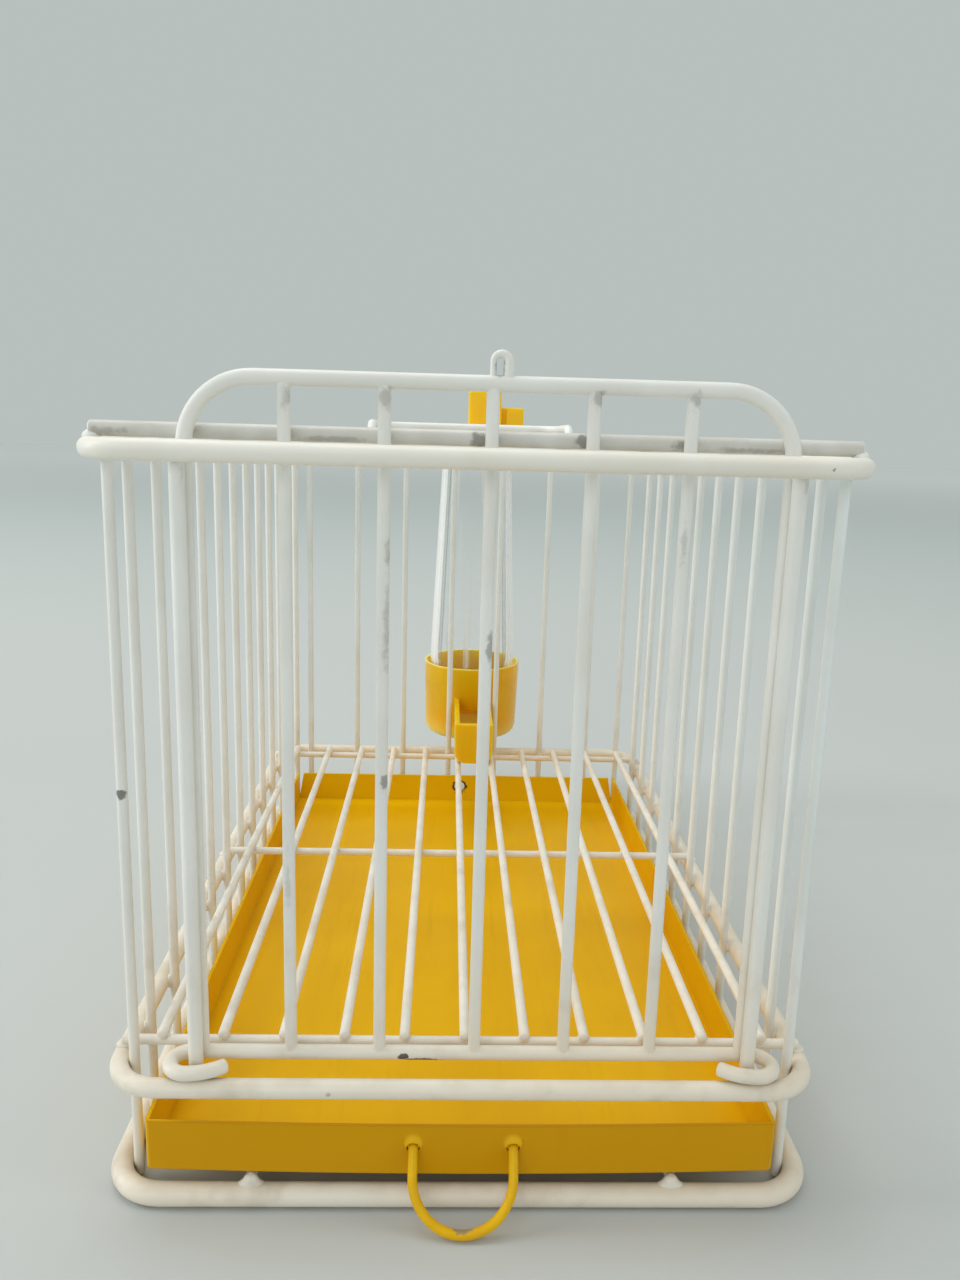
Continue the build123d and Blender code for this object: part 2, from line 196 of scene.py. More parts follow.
# Painted highlights on the domes round the pull's holes
dome_highlight_marks = [((side * 10.4, -112.0, 15.0), (2.6, 1.6, 2.6), 0.6) for side in (-1, 1)]
tray_hole_mark = ((1.3, 103.7, 14.0), (3.1, 2.0, 3.0), 0.95)
pull_mark = ((0.0, -120.2, 1.9), (2.4, 1.4, 1.0), 0.85)


def linear(red, green, blue):
    """A colour given in the usual 0 to 255 steps, as the shader's own numbers."""
    values = []
    for step in (red, green, blue):
        share = step / 255.0
        if share <= 0.04045:
            values.append(share / 12.92)
        else:
            values.append(((share + 0.055) / 1.055) ** 2.4)
    return (*values, 1.0)


# Colours of the paint on the wires
plain_white = linear(238, 239, 235), linear(231, 231, 225)
bounce_offset_white = linear(235, 240, 239), linear(228, 232, 229)
warm_white = linear(243, 240, 231), linear(237, 232, 220)
aged_cream = linear(238, 223, 199)
brown_smudge = linear(178, 160, 134)
grey_film = linear(182, 179, 170)
settled_dust = linear(204, 190, 163)
brown_grime_and_shade = linear(170, 150, 116)
bare_steel_and_shade = linear(98, 92, 84), linear(66, 60, 52)

# Colours of the tray and its pull
tray_yellow = linear(240, 188, 5), linear(232, 179, 4)
tray_drawn = linear(219, 164, 3)
tray_scratched = linear(172, 122, 4)
tray_grime_and_shade = linear(164, 112, 4)
# The tray's front wall is painted darker as shade, and its back wall is painted lighter as light
tray_front_painted_shade = linear(207, 146, 2)
tray_back_painted_light = linear(246, 208, 16)
tray_dome_highlight = linear(250, 202, 32)
tray_rust = linear(72, 52, 18)
tray_chipped = linear(78, 62, 36)
pull_yellow = linear(240, 190, 8), linear(228, 176, 5)
pull_worn = linear(142, 130, 104)

# Colours of the drinker
cup_amber = linear(240, 184, 10), linear(230, 171, 6)
cup_inside_painted_light = linear(255, 208, 84)
cup_trough_bounce_offset = linear(238, 194, 26)
cup_lip_highlight = linear(255, 236, 170)
plastic_film_and_shade = linear(140, 96, 20)
hanger_yellow = linear(253, 211, 46), linear(249, 203, 36)
tube_pale = linear(254, 255, 254), linear(248, 250, 249)
tube_dark_reflection = linear(120, 130, 128)

# Colours of the floor and the background
floor_near = linear(198, 202, 200), linear(194, 198, 196)
floor_middle = linear(208, 216, 213)
floor_far = linear(246, 251, 249)
sky_light = linear(236, 242, 240)
sky_seen = linear(184, 192, 189)


class Shader:
    """One node material, with short calls for the nodes that the finishes share."""

    def __init__(self, name):
        self.material = bpy.data.materials.new(name)
        self.material.use_nodes = True
        self.tree = self.material.node_tree
        self.surface = self.tree.nodes["Principled BSDF"]
        self.place = self.add("ShaderNodeTexCoord").outputs["Object"]

    def add(self, kind, **settings):
        node = self.tree.nodes.new(kind)
        for name, value in settings.items():
            setattr(node, name, value)
        return node

    def put(self, socket, value):
        if isinstance(value, bpy.types.NodeSocket):
            self.tree.links.new(value, socket)
        else:
            socket.default_value = value

    def set(self, **values):
        for name, value in values.items():
            self.put(self.surface.inputs[name.replace("_", " ")], value)

    def vectors(self, operation, first, second):
        node = self.add("ShaderNodeVectorMath", operation=operation)
        self.put(node.inputs[0], first)
        self.put(node.inputs[1], second)
        return node.outputs["Vector"]

    def length(self, vector):
        node = self.add("ShaderNodeVectorMath", operation="LENGTH")
        self.put(node.inputs[0], vector)
        return node.outputs["Value"]

    def stretched(self, factors):
        return self.vectors("MULTIPLY", self.place, factors)

    def noise(self, scale, detail=3.0, rough=0.55, place=None):
        node = self.add("ShaderNodeTexNoise")
        self.put(node.inputs["Vector"], place or self.place)
        node.inputs["Scale"].default_value = scale
        node.inputs["Detail"].default_value = detail
        node.inputs["Roughness"].default_value = rough
        return node.outputs["Fac"]

    def span(self, value, low, high, start=0.0, stop=1.0):
        """A smooth step from start to stop as the value goes from low to high."""
        node = self.add("ShaderNodeMapRange", interpolation_type="SMOOTHSTEP")
        self.put(node.inputs["Value"], value)
        node.inputs["From Min"].default_value = low
        node.inputs["From Max"].default_value = high
        node.inputs["To Min"].default_value = start
        node.inputs["To Max"].default_value = stop
        return node.outputs["Result"]

    def maths(self, operation, first, second=0.0):
        node = self.add("ShaderNodeMath", operation=operation)
        self.put(node.inputs[0], first)
        self.put(node.inputs[1], second)
        return node.outputs["Value"]

    def most(self, values):
        result = values[0]
        for value in values[1:]:
            result = self.maths("MAXIMUM", result, value)
        return result

    def mix(self, share, first, second):
        node = self.add("ShaderNodeMix", data_type="RGBA")
        self.put(node.inputs[0], share)
        self.put(node.inputs[6], first)
        self.put(node.inputs[7], second)
        return node.outputs[2]

    def axis(self, vector, name):
        node = self.add("ShaderNodeSeparateXYZ")
        self.put(node.inputs["Vector"], vector)
        return node.outputs[name]

    def normal(self):
        return self.add("ShaderNodeNewGeometry").outputs["Normal"]

    def crevice(self, distance, samples=6):
        """High in corners and hollows, low on open surfaces."""
        node = self.add("ShaderNodeAmbientOcclusion", samples=samples)
        node.inputs["Distance"].default_value = distance
        return self.maths("SUBTRACT", 1.0, node.outputs["AO"])

    def spot(self, centre, radii, strength, ragged):
        """A mark of that size round a point, with a broken edge. A weak mark fades out softly."""
        away = self.vectors("SUBTRACT", self.place, [x * mm for x in centre])
        scaled = self.vectors("DIVIDE", away, [x * mm for x in radii])
        edge = self.maths("ADD", self.length(scaled), ragged)
        return self.span(edge, 1.1, strength * 0.9, 0.0, strength)

    def bump(self, height, distance, edge=None):
        """Raised detail, over edges rounded by that radius where one is given."""
        node = self.add("ShaderNodeBump")
        self.put(node.inputs["Height"], height)
        node.inputs["Distance"].default_value = distance
        if edge:
            soft = self.add("ShaderNodeBevel", samples=6)
            soft.inputs["Radius"].default_value = edge
            self.put(node.inputs["Normal"], soft.outputs["Normal"])
        self.put(self.surface.inputs["Normal"], node.outputs["Normal"])


# Finishes

def painted_wire(name, marks, light, dark, yellowing, film=0.0):
    """Old white paint: yellowed and dusty low down, with painted shade and dirt at the welds, chipped to
    the steel, and some marks of painted shade in the steel's grey.
    """
    s = Shader(name)
    colour = s.mix(s.span(s.noise(38.0), 0.35, 0.68), light, dark)
    low_down = s.span(s.axis(s.place, "Z"), yellowing_starts, yellowing_full)
    patches = s.span(s.noise(11.0, 2.0), 0.32, 0.66, 0.4, 0.9)
    age = s.maths("MULTIPLY", patches, s.span(low_down, 0.0, 1.0, 0.02, yellowing))
    colour = s.mix(age, colour, aged_cream)
    smudge = s.maths("MULTIPLY", s.span(s.noise(64.0, 4.0, 0.6), 0.5, 0.7, 0.0, 0.34), low_down)
    colour = s.mix(smudge, colour, brown_smudge)
    if film:
        dusty = s.span(s.noise(95.0, 3.0), 0.3, 0.65, film * 0.5, film)
        colour = s.mix(dusty, colour, grey_film)

    facing_up = s.span(s.axis(s.normal(), "Z"), 0.25, 0.95)
    dust = s.maths("MULTIPLY", facing_up, low_down)
    dust = s.maths("MULTIPLY", dust, s.span(s.noise(120.0), 0.38, 0.7, 0.1, 0.45))
    colour = s.mix(dust, colour, settled_dust)

    # Painted shade and dirt in the corners at the welds, where little light reaches
    hollow_shade = s.span(s.crevice(2.6 * mm), 0.46, 0.92)
    grime_and_shade = s.maths("MULTIPLY", hollow_shade, s.span(s.noise(170.0), 0.3, 0.62, 0.25, 0.8))
    colour = s.mix(grime_and_shade, colour, brown_grime_and_shade)

    ragged = s.span(s.noise(520.0, 3.0, 0.6), 0.25, 0.75, -0.35, 0.35)
    chips = s.span(s.noise(430.0, 2.5, 0.6), 0.775, 0.795, 0.0, 0.6)
    chips = s.maths("MULTIPLY", chips, s.span(s.noise(52.0, 1.0), 0.57, 0.61))
    # Chips and marks turn the paint to grey steel; some of the marks are painted shade in that grey
    bare_and_shade = s.most([chips] + [s.spot(*mark, ragged) for mark in marks])
    colour = s.mix(bare_and_shade, colour, s.mix(s.noise(600.0), *bare_steel_and_shade))

    s.set(Base_Color=colour, Specular_IOR_Level=0.4)
    worn = s.span(s.maths("MAXIMUM", bare_and_shade, grime_and_shade), 0.0, 1.0, 0.4, 0.68)
    s.set(Roughness=s.maths("ADD", worn, s.span(s.noise(260.0), 0.3, 0.7, -0.05, 0.07)))
    skin = s.maths("ADD", s.noise(210.0, 2.0), s.maths("MULTIPLY", s.noise(900.0), 0.22))
    s.bump(s.maths("SUBTRACT", skin, s.maths("MULTIPLY", bare_and_shade, 0.4)), 0.11 * mm)
    return s.material


def tray_enamel(name):
    """Yellow enamel on sheet: clouded, streaked and scratched lengthwise, rusty at the back hole, with
    painted shade and dirt in its corners, painted shade on its front wall, painted light on its back wall
    and painted highlights on the pull's domes.
    """
    s = Shader(name)
    colour = s.mix(s.span(s.noise(22.0), 0.32, 0.7), *tray_yellow)
    drawn = s.noise(60.0, 4.0, 0.6, s.stretched((5.0, 0.35, 1.0)))
    colour = s.mix(s.span(drawn, 0.52, 0.74, 0.0, 0.3), colour, tray_drawn)
    scratch = s.noise(240.0, 3.0, 0.6, s.stretched((9.0, 0.25, 1.0)))
    scratch = s.span(scratch, 0.69, 0.73)
    scratch = s.maths("MULTIPLY", scratch, s.span(s.noise(30.0), 0.5, 0.62))
    colour = s.mix(s.maths("MULTIPLY", scratch, 0.4), colour, tray_scratched)
    # Painted shade and dirt in the tray's corners
    grime_and_shade = s.span(s.crevice(4.0 * mm), 0.4, 0.9, 0.0, 0.45)
    colour = s.mix(grime_and_shade, colour, tray_grime_and_shade)

    depth = s.axis(s.place, "Y")
    # Painted shade on the front wall's outer face, and painted light on the back wall
    front_painted_shade = s.span(depth, tray_front_shade_starts, tray_front_shade_full, 0.0, 0.75)
    colour = s.mix(front_painted_shade, colour, tray_front_painted_shade)
    back_painted_light = s.span(depth, tray_back_light_starts, tray_back_light_full, 0.0, 0.6)
    colour = s.mix(back_painted_light, colour, tray_back_painted_light)
    # Painted highlights on the domes round the pull's holes
    for mark in dome_highlight_marks:
        colour = s.mix(s.spot(*mark, 0.0), colour, tray_dome_highlight)

    ragged = s.span(s.noise(520.0, 3.0, 0.6), 0.25, 0.75, -0.3, 0.3)
    colour = s.mix(s.spot(*tray_hole_mark, ragged), colour, tray_rust)
    chips = s.span(s.noise(480.0, 2.0), 0.775, 0.795)
    chips = s.maths("MULTIPLY", chips, s.span(s.noise(45.0, 1.0), 0.57, 0.62))
    colour = s.mix(chips, colour, tray_chipped)

    s.set(Base_Color=colour, Specular_IOR_Level=0.12)
    rough = s.span(s.noise(75.0), 0.3, 0.7, 0.3, 0.4)
    s.set(Roughness=s.maths("ADD", rough, s.maths("MULTIPLY", scratch, 0.2)))
    wave = s.maths("ADD", s.noise(26.0, 1.0), s.maths("MULTIPLY", s.noise(800.0), 0.02))
    s.bump(s.maths("SUBTRACT", wave, s.maths("MULTIPLY", chips, 0.06)), 0.5 * mm, 0.3 * mm)
    return s.material


def pull_enamel(name):
    """The pull's yellow enamel, worn through where a finger hooks it."""
    s = Shader(name)
    colour = s.mix(s.span(s.noise(160.0), 0.3, 0.7), *pull_yellow)
    ragged = s.span(s.noise(700.0, 3.0), 0.25, 0.75, -0.16, 0.16)
    chips = s.span(s.noise(620.0, 2.0), 0.77, 0.79)
    worn = s.maths("MAXIMUM", s.spot(*pull_mark, ragged), chips)
    s.set(Base_Color=s.mix(worn, colour, pull_worn), Specular_IOR_Level=0.2)
    s.set(Roughness=s.span(worn, 0.0, 1.0, 0.32, 0.5))
    s.bump(s.maths("SUBTRACT", s.noise(420.0, 2.0), s.maths("MULTIPLY", worn, 0.5)), 0.08 * mm)
    return s.material


def cup_tones(s, colour):
    """The cup's inner wall painted brighter as light, its trough painted paler and greener to offset the
    orange light bounced onto it, and a painted highlight along its top edge.
    """
    out = s.vectors("SUBTRACT", s.place, cup_axis)
    reach = s.length(s.vectors("MULTIPLY", out, (1.0, 1.0, 0.0)))
    # Painted light on the cup's inner wall, which sits in shade
    inside = s.span(reach, cup_radius - 0.7 * mm, cup_radius - 1.0 * mm)
    colour = s.mix(inside, colour, cup_inside_painted_light)
    # The trough is painted paler and greener to offset the orange light that the tray bounces onto it
    trough = s.span(s.axis(s.place, "Y"), cup_front, cup_front - 1.5 * mm, 0.0, 0.8)
    colour = s.mix(trough, colour, cup_trough_bounce_offset)
    # Painted highlight along the top edge of the wall
    lip = s.span(s.axis(s.place, "Z"), cup_rim - 0.4 * mm, cup_rim - 0.1 * mm, 0.0, 0.5)
    return s.mix(lip, colour, cup_lip_highlight)


def moulded_plastic(name, light, dark, rough, gloss, glow_depth, cup=False):
    """Yellow plastic that lets some light in, scuffed up and down, with a film of dirt and painted shade
    in its corners.
    """
    s = Shader(name)
    colour = s.mix(s.span(s.noise(48.0), 0.3, 0.72), light, dark)
    if cup:
        colour = cup_tones(s, colour)
    # Painted shade and dirt in the corners
    film = s.maths("MULTIPLY", s.span(s.crevice(2.5 * mm), 0.5, 0.95), 0.3)
    colour = s.mix(film, colour, plastic_film_and_shade)
    scuff = s.noise(320.0, 3.0, 0.6, s.stretched((1.0, 1.0, 0.3)))
    scuff = s.span(scuff, 0.62, 0.76)
    s.set(Base_Color=colour, Specular_IOR_Level=gloss, Subsurface_Weight=0.85)
    s.set(Subsurface_Radius=(1.0, 0.6, 0.15), Subsurface_Scale=glow_depth)
    s.set(Roughness=s.maths("ADD", rough, s.maths("MULTIPLY", scuff, 0.14)))
    grain = s.maths("ADD", s.noise(40.0, 1.0), s.maths("MULTIPLY", s.noise(1500.0), 0.03))
    s.bump(grain, 0.12 * mm, 0.4 * mm)
    return s.material


def clear_plastic(name):
    """Thin clear plastic: pale streaks lengthwise that are flow lines and painted highlights, a painted
    bright reflection at the edge with a thin painted dark reflection in from it, clearer where it stands
    in the cup.
    """
    s = Shader(name)
    upright = s.stretched((1.0, 1.0, 0.03))
    # Pale lengthwise streaks: flow lines in the plastic that also stand in for its highlights
    streak_and_highlight = s.span(s.noise(150.0, 2.0, 0.5, upright), 0.56, 0.7, 0.0, 0.5)
    cloud = s.span(s.noise(60.0, 3.0), 0.35, 0.75, 0.0, 0.04)
    edge = s.add("ShaderNodeLayerWeight")
    edge.inputs["Blend"].default_value = 0.5
    facing = edge.outputs["Facing"]
    # Painted reflection: paler and more opaque towards the edges, with a thin dark band in from them
    rim = s.span(facing, 0.44, 0.6, 0.0, 0.8)
    line = s.maths("MULTIPLY", s.span(facing, 0.36, 0.4), s.span(facing, 0.46, 0.42))
    above_cup = s.span(s.axis(s.place, "Z"), cup_rim - 7.0 * mm, cup_rim + 1.0 * mm, 0.4, 1.0)
    veil = s.most([s.maths("ADD", streak_and_highlight, cloud), rim, s.maths("MULTIPLY", line, 0.25)])
    s.set(Alpha=s.maths("MULTIPLY", veil, above_cup))
    s.set(Base_Color=s.mix(line, s.mix(s.noise(80.0), *tube_pale), tube_dark_reflection))
    s.set(Roughness=s.span(s.noise(90.0), 0.35, 0.75, 0.06, 0.16), Specular_IOR_Level=0.8)
    s.bump(s.noise(70.0, 1.0), 0.1 * mm)
    return s.material


cage_paint = painted_wire("cage_paint_aged", cage_marks, *plain_white, yellowing=0.6)
# A cooler, less yellowed copy of the paint for the back wires and right side wires, to offset the yellow
# light that the tray bounces onto them
back_paint_bounce_offset = painted_wire("back_paint_aged", [], *bounce_offset_white, yellowing=0.3)
ring_paint = painted_wire("ring_paint_aged", cage_marks, *warm_white, yellowing=0.75)
door_paint = painted_wire("door_paint_aged", door_marks, *plain_white, yellowing=0.85)
slot_paint = painted_wire("slot_bar_paint_dusty", slot_marks, *plain_white, yellowing=0.0, film=0.6)
finish_of_node = {
    **{name: ring_paint for name in ring_names},
    **{name: back_paint_bounce_offset for name in nodes if name.startswith(("back_wire", "side_wires_right"))},
    "door_slot_bar": slot_paint,
    "tray_pan": tray_enamel("tray_enamel_deep_yellow"),
    "tray_pull": pull_enamel("pull_enamel_worn"),
    "drinker_cup": moulded_plastic(
        "cup_plastic_amber", *cup_amber, rough=0.25, gloss=0.25, glow_depth=6.0 * mm, cup=True
    ),
    "drinker_hanger": moulded_plastic(
        "hanger_plastic_yellow", *hanger_yellow, rough=0.34, gloss=0.2, glow_depth=4.0 * mm
    ),
    "drinker_tube": clear_plastic("tube_plastic_clear"),
}


# Smooth shading for the frame's own meshes, as a modifier

def smooth_group():
    group = bpy.data.node_groups.new("smooth_by_angle", "GeometryNodeTree")
    group.interface.new_socket("Geometry", in_out="INPUT", socket_type="NodeSocketGeometry")
    group.interface.new_socket("Geometry", in_out="OUTPUT", socket_type="NodeSocketGeometry")
    make = group.nodes.new
    start = make("NodeGroupInput")
    merge = make("GeometryNodeMergeByDistance")
    merge.inputs["Distance"].default_value = merge_distance
    faces = make("GeometryNodeSetShadeSmooth")
    faces.domain = "FACE"
    edges = make("GeometryNodeSetShadeSmooth")
    edges.domain = "EDGE"
    angle = make("GeometryNodeInputMeshEdgeAngle")
    compare = make("FunctionNodeCompare")
    compare.operation = "LESS_THAN"
    compare.inputs["B"].default_value = sharp_angle
    stop = make("NodeGroupOutput")
    join = group.links.new
    join(start.outputs[0], merge.inputs["Geometry"])
    join(merge.outputs["Geometry"], faces.inputs["Geometry"])
    join(faces.outputs["Geometry"], edges.inputs["Geometry"])
    join(angle.outputs["Unsigned Angle"], compare.inputs["A"])
    join(compare.outputs["Result"], edges.inputs["Shade Smooth"])
    join(edges.outputs["Geometry"], stop.inputs[0])
    return group


def dress_frame():
    """Gives every node of the frame its finish and smooth shading."""
    smoothing = smooth_group()
    for name, piece in nodes.items():
        paint = door_paint if piece["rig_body"] == "door" else cage_paint
        piece.data.materials.clear()
        piece.data.materials.append(finish_of_node.get(name, paint))
        modifier = piece.modifiers.new("smooth", "NODES")
        modifier.node_group = smoothing


dress_frame()


# Wires of the frame, and where they touch

class Rod:
    """A straight wire: its axis, middle, half length and radius."""

    def __init__(self, low, high):
        size = high - low
        self.axis = max(range(3), key=lambda index: size[index])
        self.middle = (low + high) / 2
        self.half = size[self.axis] / 2
        self.radius = sorted(size)[0] / 2

    def direction(self):
        return Vector([1.0 if index == self.axis else 0.0 for index in range(3)])

    def ends(self):
        return [(self.middle + self.direction() * side * self.half, side) for side in (-1, 1)]


def loose_boxes(piece):
    """The boxes of the separate solids in one node, told apart by their place along Y."""
    groups = {}
    for vertex in piece.data.vertices:
        key = None
        for centre in groups:
            if abs(vertex.co.y - centre) < wire_apart:
                key = centre
        groups.setdefault(vertex.co.y if key is None else key, []).append(vertex.co)
    boxes = []
    for points in groups.values():
        low = Vector([min(p[i] for p in points) for i in range(3)])
        high = Vector([max(p[i] for p in points) for i in range(3)])
        boxes.append((low, high))
    return boxes


def rods_named(*starts):
    rods = []
    for name, piece in nodes.items():
        if name.startswith(starts):
            if name.startswith("side_wires"):
                rods += [Rod(*box) for box in loose_boxes(piece)]
            else:
                rods.append(Rod(*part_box(name)))
    return rods


def ring_rails():
    """The straight rails of the three rings as rods."""
    rails = []
    for name in ring_names:
        low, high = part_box(name)
        wire = high.z - low.z
        rails.append(Rod(low, Vector((low.x + wire, high.y, high.z))))
        rails.append(Rod(Vector((high.x - wire, low.y, low.z)), high))
        rails.append(Rod(low, Vector((high.x, low.y + wire, high.z))))
        rails.append(Rod(Vector((low.x, high.y - wire, low.z)), high))
    return rails


def crossing(first, second):
    """Where two straight wires of different direction touch, with the line between their axes."""
    if first.axis == second.axis:
        return None
    third = 3 - first.axis - second.axis
    if abs(second.middle[first.axis] - first.middle[first.axis]) > first.half + touch_gap:
        return None
    if abs(first.middle[second.axis] - second.middle[second.axis]) > second.half + touch_gap:
        return None
    apart = second.middle[third] - first.middle[third]
    if abs(abs(apart) - first.radius - second.radius) > touch_gap:
        return None
    side = math.copysign(1.0, apart)
    point = Vector((0.0, 0.0, 0.0))
    point[first.axis] = second.middle[first.axis]
    point[second.axis] = first.middle[second.axis]
    point[third] = first.middle[third] + side * first.radius
    return point, first.axis, second.axis, third


# Shared mesh helpers

def blob(mesh, centre, radii):
    turned = Matrix.Translation(centre) @ Matrix.Diagonal((*radii, 1.0))
    bmesh.ops.create_icosphere(mesh, subdivisions=2, radius=1.0, matrix=turned)


def oval(mesh, centre, first, second):
    """Points round a centre, on an oval with those two half axes."""
    points = []
    for step in range(round_sides):
        turn = 2.0 * math.pi * step / round_sides
        points.append(mesh.verts.new(centre + first * math.cos(turn) + second * math.sin(turn)))
    return points


def loft(mesh, loops):
    """A closed skin through rings of as many points each."""
    for low, high in zip(loops, loops[1:]):
        for step in range(len(low)):
            after = (step + 1) % len(low)
            mesh.faces.new((low[step], low[after], high[after], high[step]))
    mesh.faces.new(loops[-1])
    mesh.faces.new(list(reversed(loops[0])))


def make_piece(name, mesh, body, finish):
    data = bpy.data.meshes.new(name)
    mesh.to_mesh(data)
    mesh.free()
    data.polygons.foreach_set("use_smooth", [True] * len(data.polygons))
    data.materials.append(finish)
    piece = bpy.data.objects.new(name, data)
    bpy.context.scene.collection.objects.link(piece)
    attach(piece, body)
    return piece


# Weld, paint and mouldings that the frame's solids leave out

def weld_beads(name, rods, body, finish):
    """A bead of weld under the paint wherever two wires touch."""
    mesh = bmesh.new()
    for index, first in enumerate(rods):
        for second in rods[index + 1:]:
            found = crossing(first, second)
            if found:
                point, one, two, third = found
                radii = [0.0, 0.0, 0.0]
                radii[one] = second.radius * rng.uniform(*bead_along) + bead_skirt_along
                radii[two] = first.radius * rng.uniform(*bead_across) + bead_skirt_across
                radii[third] = min(first.radius, second.radius) * rng.uniform(*bead_deep)
                blob(mesh, point, radii)
    make_piece(name, mesh, body, finish)


def runner_feet(name, rods, body, finish):
    """The paint-filled welds that spread where the tray's rods meet the base ring."""
    mesh = bmesh.new()
    for rod in rods:
        for point, side in rod.ends():
            loops = []
            for rise, across, along in foot_rings:
                centre = point + Vector((0.0, side * foot_shift, rise)) * mm
                wide = Vector((across, 0.0, 0.0)) * mm
                deep = Vector((0.0, along, 0.0)) * mm
                loops.append(oval(mesh, centre, wide, deep))
            loft(mesh, loops)
    make_piece(name, mesh, body, finish)


def door_joints(name, body, finish):
    """Small collars of weld and paint at the ends of the door's bars and eye."""
    mesh = bmesh.new()
    for bar in rods_named("door_bar"):
        for point, side in bar.ends():
            wide = bar.radius * rng.uniform(*collar_wide)
            deep = bar.radius * rng.uniform(*collar_deep)
            tall = rng.uniform(*collar_tall) * mm
            blob(mesh, point - Vector((0.0, 0.0, side * collar_inset)) * mm, (wide, deep, tall))
    low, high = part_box("door_eye")
    middle = (low + high) / 2
    reach = (high - low) / 2
    foot = Vector((middle.x, middle.y, low.z + eye_collar_lift))
    blob(mesh, foot, (reach.x + eye_collar_skirt, reach.y * eye_collar_deep, eye_collar_tall))
    make_piece(name, mesh, body, finish)


def lifting_eye(name, body, finish):
    """The eye on the door's arch: a bent wire whose second leg is thick with weld and paint."""
    low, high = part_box("door_eye")
    middle = (low + high) / 2
    left = low.x + eye_thin
    right = high.x - eye_thick
    centre = (left + right) / 2
    bend = (right - left) / 2
    spring = high.z - (eye_thin + eye_thick) / 2 - bend
    heights = [low.z + (spring - low.z) * step / leg_steps for step in range(leg_steps)]
    path = [(left, height, eye_thin) for height in heights]
    for step in range(eye_steps + 1):
        share = step / eye_steps
        turn = math.pi * (1.0 - share)
        wire = eye_thin + (eye_thick - eye_thin) * share
        path.append((centre + bend * math.cos(turn), spring + bend * math.sin(turn), wire))
    path += [(right, height, eye_thick) for height in reversed(heights)]

    mesh = bmesh.new()
    across = Vector((0.0, 1.0, 0.0))
    loops = []
    for index, (x, z, wire) in enumerate(path):
        before = path[max(index - 1, 0)]
        after = path[min(index + 1, len(path) - 1)]
        heading = Vector((after[0] - before[0], 0.0, after[1] - before[1])).normalized()
        aside = heading.cross(across)
        loops.append(oval(mesh, Vector((x, middle.y, z)), aside * wire, across * wire))
    loft(mesh, loops)
    bmesh.ops.recalc_face_normals(mesh, faces=mesh.faces)
    piece = make_piece(name, mesh, body, finish)
    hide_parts("door_eye")


def moulded_hanger(name, body):
    """The bottle's hanger with the rounded edges and the sunk top of a plastic moulding."""
    mesh = bmesh.new()
    mesh.from_mesh(nodes["drinker_hanger"].data)
    bmesh.ops.remove_doubles(mesh, verts=mesh.verts, dist=hanger_merge)
    bmesh.ops.dissolve_limit(mesh, angle_limit=hanger_flat, verts=mesh.verts, edges=mesh.edges)
    sharp = [e for e in mesh.edges if e.is_convex and e.calc_face_angle(0.0) > hanger_corner]
    bmesh.ops.bevel(
        mesh,
        geom=sharp,
        offset=hanger_edge,
        segments=hanger_edge_steps,
        profile=0.5,
        affect="EDGES",
        clamp_overlap=True,
    )
    mesh.normal_update()
    upward = [face for face in mesh.faces if face.normal.z > hanger_level]
    block_top = max(face.calc_center_median().z for face in upward)
    highest = [face for face in upward if face.calc_center_median().z > block_top - hanger_edge]
    top = max(highest, key=lambda face: face.calc_area())
    bmesh.ops.inset_region(mesh, faces=[top], thickness=hanger_rim)
    bmesh.ops.inset_region(mesh, faces=[top], thickness=hanger_draft)
    for vertex in top.verts:
        vertex.co.z -= hanger_core
    piece = make_piece(name, mesh, body, finish_of_node["drinker_hanger"])
    piece.modifiers.new("even_normals", "WEIGHTED_NORMAL")
    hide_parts("drinker_hanger")


def hook_tips(name, body, finish):
    """Rounded ends on the two hooks of the door's bottom rail."""
    mesh = bmesh.new()
    low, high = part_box("door_bottom_rail")
    middle = (low + high) / 2
    wire = high.z - low.z
    points = [v.co for v in nodes["door_bottom_rail"].data.vertices if v.co.y < middle.y]
    shape = Matrix.Diagonal((wire * tip_rise, wire * tip_radius, wire * tip_radius, 1.0))
    for side in (-1, 1):
        heading = Vector((-side * math.cos(hook_turn), math.sin(hook_turn), 0.0))
        near = [p for p in points if (p.x - middle.x) * side > 0.0]
        far = max(p.dot(heading) for p in near)
        end = [p for p in near if p.dot(heading) > far - tip_slice]
        centre = sum(end, Vector()) / len(end)
        turned = Matrix.Translation(centre) @ heading.to_track_quat("X", "Z").to_matrix().to_4x4()
        bmesh.ops.create_icosphere(mesh, subdivisions=3, radius=1.0, matrix=turned @ shape)
    make_piece(name, mesh, body, finish)


def wire_ends(name, rods, body, finish):
    """Rounded paint on the cut ends of the wires."""
    mesh = bmesh.new()
    for rod in rods:
        for point, side in rod.ends():
            radii = [rod.radius * end_swell] * 3
            radii[rod.axis] = rod.radius * rng.uniform(*end_rise)
            blob(mesh, point, radii)
    make_piece(name, mesh, body, finish)


rng = random.Random(draw_seed)
cage_rods = rods_named("side_wires", "back_wire", "floor_", "roof_", "guide_post", "door_slot_bar")
weld_beads("cage_weld_beads", cage_rods + ring_rails(), "cage", cage_paint)
runner_feet("cage_runner_feet", rods_named("tray_runner"), "cage", cage_paint)
door_joints("door_joint_beads", "door", door_paint)
lifting_eye("door_lifting_eye", "door", door_paint)
moulded_hanger("drinker_hanger_moulded", "drinker_bottle")
hook_tips("door_hook_tips", "door", door_paint)
wire_ends("cage_wire_ends", cage_rods, "cage", cage_paint)


# Floor, light and camera

